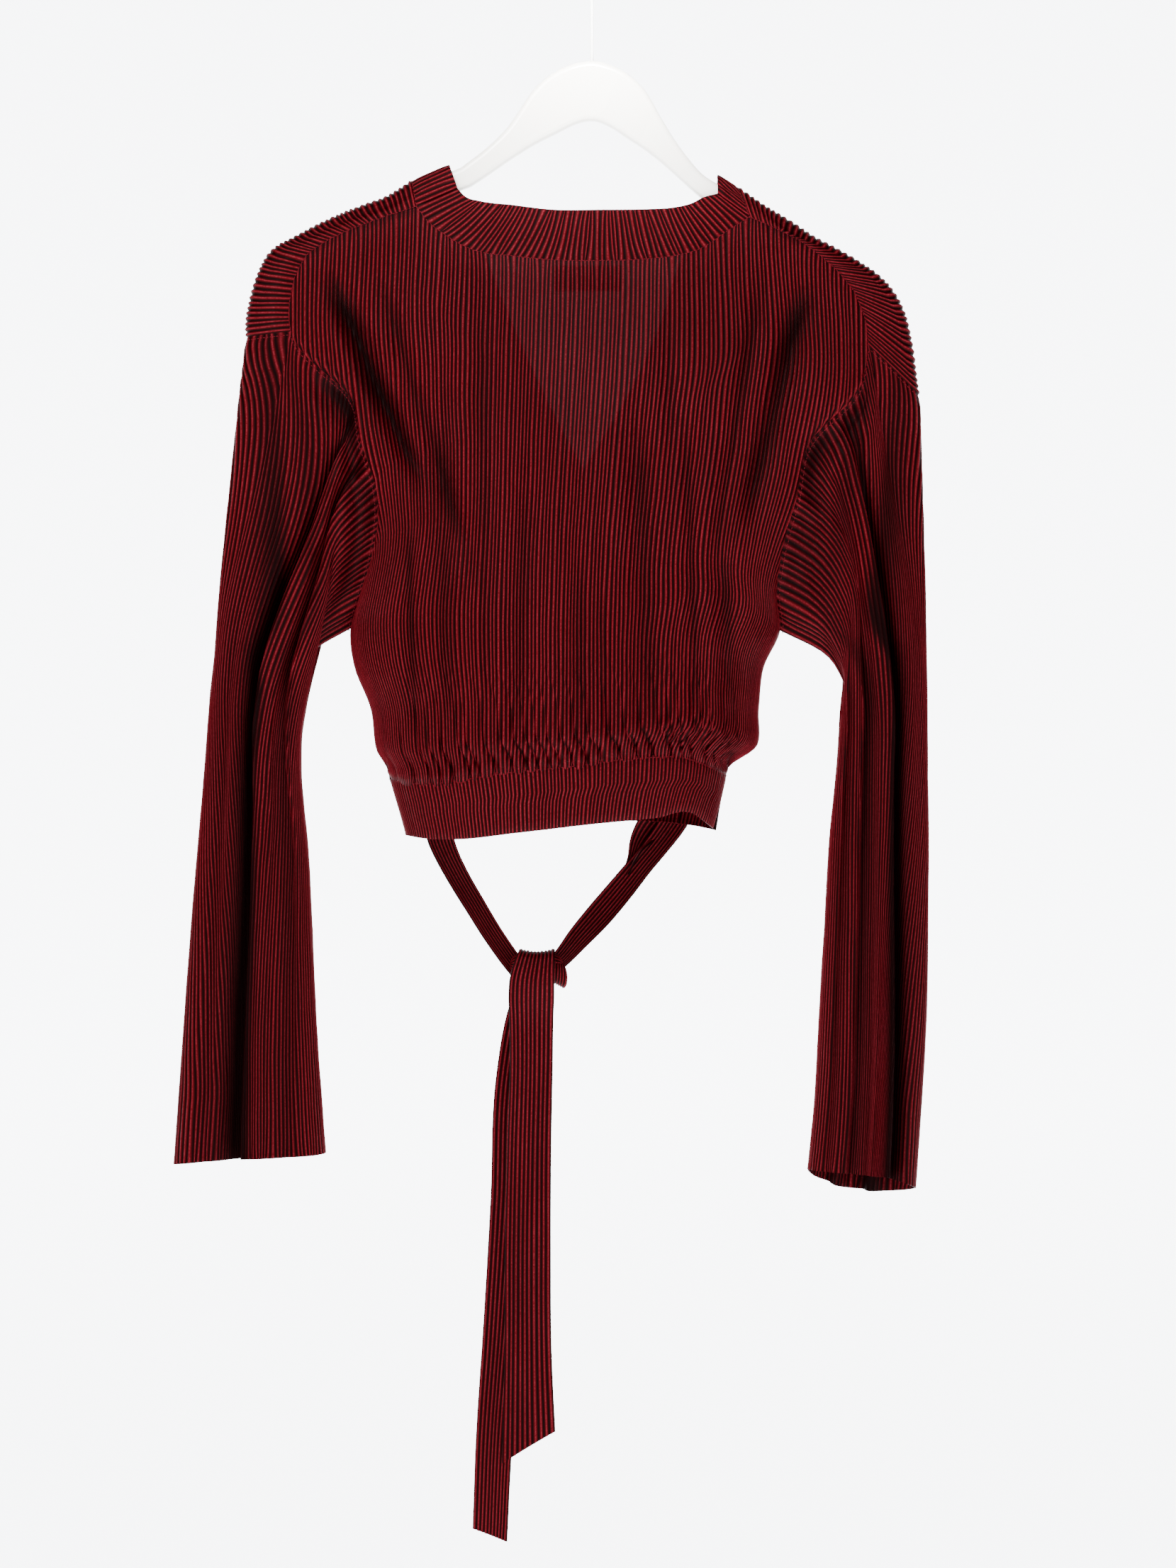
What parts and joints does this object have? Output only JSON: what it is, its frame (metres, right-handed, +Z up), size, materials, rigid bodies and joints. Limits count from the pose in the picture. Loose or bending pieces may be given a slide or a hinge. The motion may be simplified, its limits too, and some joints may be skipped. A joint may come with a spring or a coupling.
{
  "type": "pleated crop top on a hanger",
  "caption": "Long-sleeved pleated wrap crop top with bell sleeves, gathered waistband and knotted ties, hanging on a shaped hanger with a wire hook.",
  "frame": {"origin": "inner top of the hanger's hook, where it hangs on a rail", "axes": "+Z up; +X across the shoulders, to the right in a view from behind; +Y towards the front of the garment, so the back faces -Y"},
  "size_m": [0.5326, 0.1405, 1.1406],
  "materials": {
    "cloth": "fine pressed pleats in wine-red jersey with a soft satin sheen",
    "board": "smooth cream paint on wood",
    "wire": "white painted wire",
    "label": "plain woven tab"
  },
  "bodies": {
    "root": {"back_panel": "cloth", "front_left": "cloth", "front_right": "cloth", "neckband_back": "cloth", "neckband_left": "cloth", "neckband_right": "cloth", "sleeve_left": "cloth", "sleeve_right": "cloth", "waistband_back": "cloth", "waistband_left": "cloth", "waistband_right": "cloth", "tie_left": "cloth", "tie_right": "cloth", "tail_front": "cloth", "tail_back": "cloth", "knot": "cloth", "neck_label": "label", "hanger_board": "board", "hanger_hook": "wire"}
  },
  "joints": []
}
